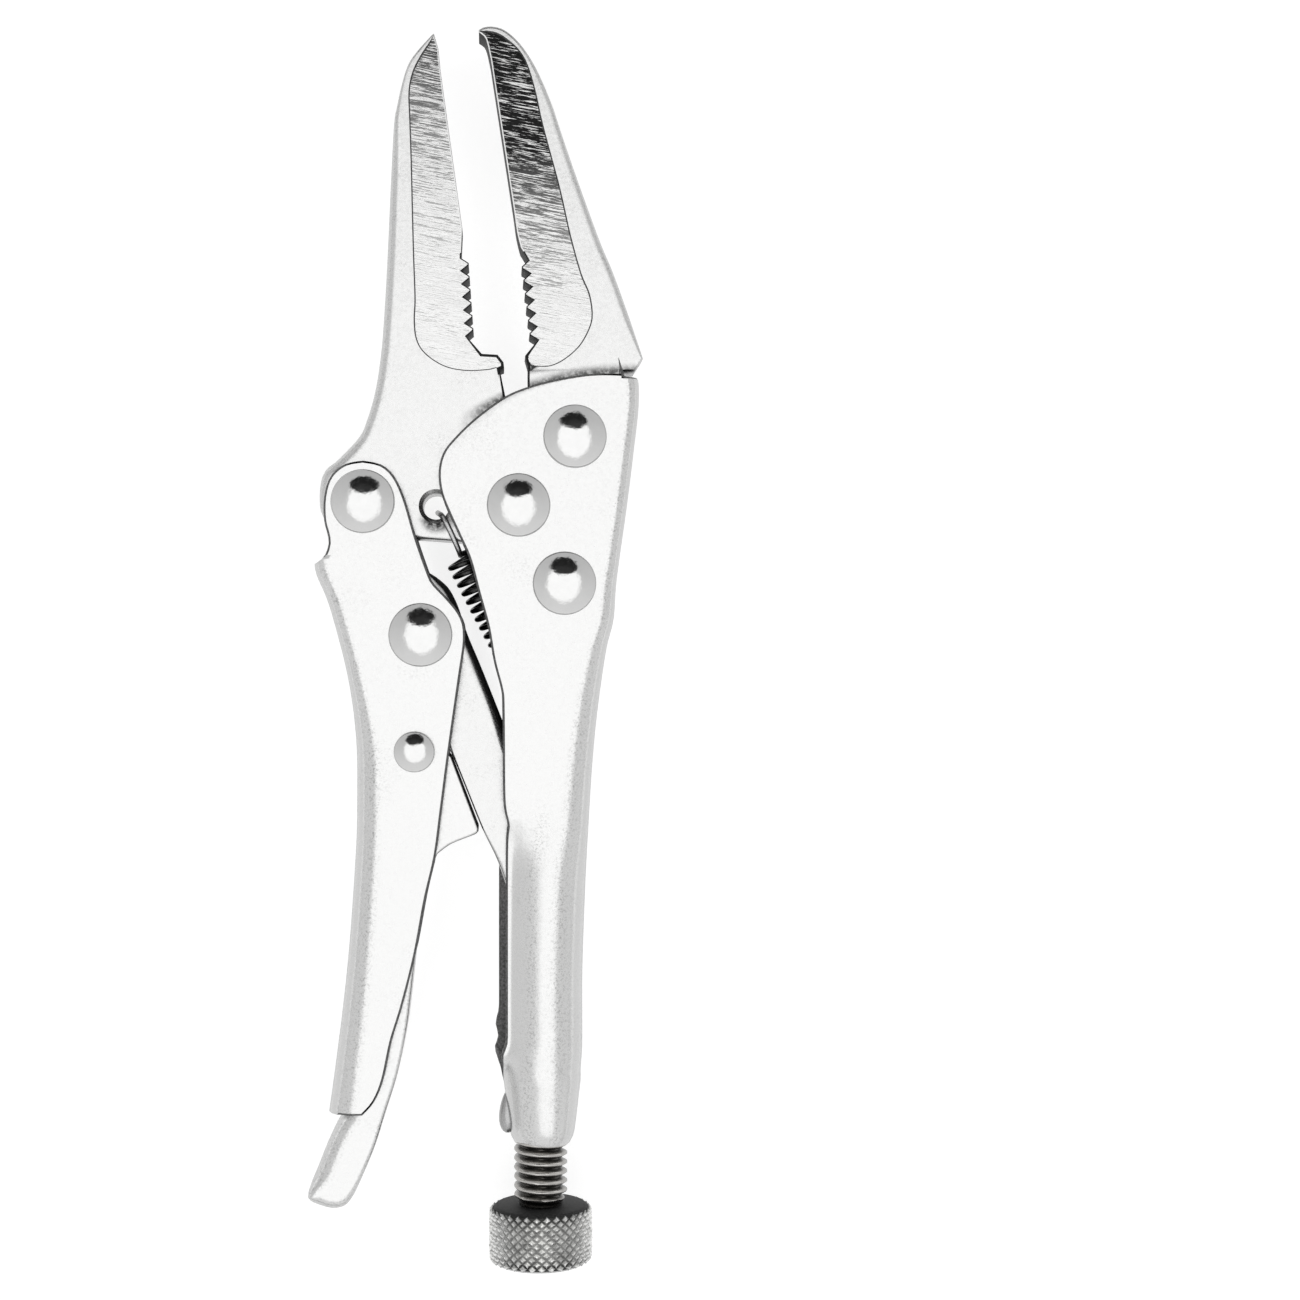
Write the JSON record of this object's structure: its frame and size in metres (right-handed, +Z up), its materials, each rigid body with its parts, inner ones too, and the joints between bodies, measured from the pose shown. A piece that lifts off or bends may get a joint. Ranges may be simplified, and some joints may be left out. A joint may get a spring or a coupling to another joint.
{
  "type": "long-nose locking pliers",
  "caption": "Long-nose locking pliers with pressed-sheet handles, toothed forged jaws, a toggle link, a release lever and a knurled adjusting screw.",
  "frame": {"origin": "middle of the bottom face of the tool's box as it lies on its side, on the rivet heads and the knob", "axes": "+Y along the nose, away from the knob; +X towards the fixed handle's back; +Z up, across the tool's thickness and along every pivot"},
  "size_m": [0.0448, 0.1676, 0.0142],
  "materials": {
    "plated_sheet": "satin nickel plate on pressed steel, faintly pebbled at the bends",
    "plated_forging": "satin nickel plate on forged steel, side faces ground across the nose",
    "polished_rivet": "bright plated domed rivet",
    "spring_wire": "dark oiled spring wire",
    "bare_screw_steel": "bare rolled steel, diamond knurled on the knob"
  },
  "bodies": {
    "handle": {"fixed_handle": "plated_sheet", "fixed_jaw": "plated_forging", "fixed_jaw_front_rivet": "polished_rivet", "fixed_jaw_rear_rivet": "polished_rivet", "tension_spring": "spring_wire"},
    "jaw_pin": {"jaw_pivot_rivet": "polished_rivet"},
    "jaw": {"movable_jaw": "plated_forging"},
    "lever_pin": {"lever_pivot_rivet": "polished_rivet"},
    "lever": {"clamping_lever": "plated_sheet", "link_pivot_rivet": "polished_rivet", "release_pivot_rivet": "polished_rivet"},
    "link": {"toggle_link": "plated_sheet"},
    "release": {"release_lever": "plated_sheet"},
    "screw": {"adjusting_screw": "bare_screw_steel"},
    "knob": {"adjusting_knob": "bare_screw_steel"}
  },
  "joints": [
    {"name": "screw_travel", "type": "slide", "parent": "handle", "child": "screw", "axis": [0, 1, 0], "range_m": [-0.00625, 0.00194]},
    {"name": "knob_turn", "type": "hinge", "parent": "screw", "child": "knob", "pos_m": [0.00865, -0.07986, 0.0071], "axis": [0, 1, 0], "range_deg": [-1802, 562]},
    {"name": "jaw_adjust", "type": "hinge", "parent": "handle", "child": "jaw_pin", "pos_m": [0.0056, 0.01944, 0.0071], "axis": [0, 0, 1], "range_deg": [-5.39, 17.1], "deforming": ["tension_spring"]},
    {"name": "jaw_swing", "type": "hinge", "parent": "jaw_pin", "child": "jaw", "pos_m": [0.0056, 0.01944, 0.0071], "axis": [0, 0, 1], "range_deg": [0, 15.7], "deforming": ["tension_spring"]},
    {"name": "lever_adjust", "type": "hinge", "parent": "jaw", "child": "lever_pin", "pos_m": [-0.015, 0.01984, 0.0071], "axis": [0, 0, 1], "range_deg": [-17.6, 5.54]},
    {"name": "lever_swing", "type": "hinge", "parent": "lever_pin", "child": "lever", "pos_m": [-0.015, 0.01984, 0.0071], "axis": [0, 0, 1], "range_deg": [-60, 0]},
    {"name": "link_swing", "type": "hinge", "parent": "lever", "child": "link", "pos_m": [-0.0074, 0.00214, 0.0071], "axis": [0, 0, 1], "range_deg": [0, 65.5]},
    {"name": "release_press", "type": "hinge", "parent": "lever", "child": "release", "pos_m": [-0.0082, -0.01336, 0.0071], "axis": [0, 0, 1], "range_deg": [0, 2.2]}
  ],
  "couplings": [
    {"joint": "knob_turn", "follows": "screw_travel", "rad_per_m": 5026.5},
    {"joint": "jaw_adjust", "follows": "screw_travel", "rad_per_m": -47.471},
    {"joint": "lever_adjust", "follows": "screw_travel", "rad_per_m": 48.868},
    {"joint": "jaw_swing", "follows": "lever_swing", "ratio": -0.26},
    {"joint": "link_swing", "follows": "lever_swing", "ratio": -1.09}
  ]
}
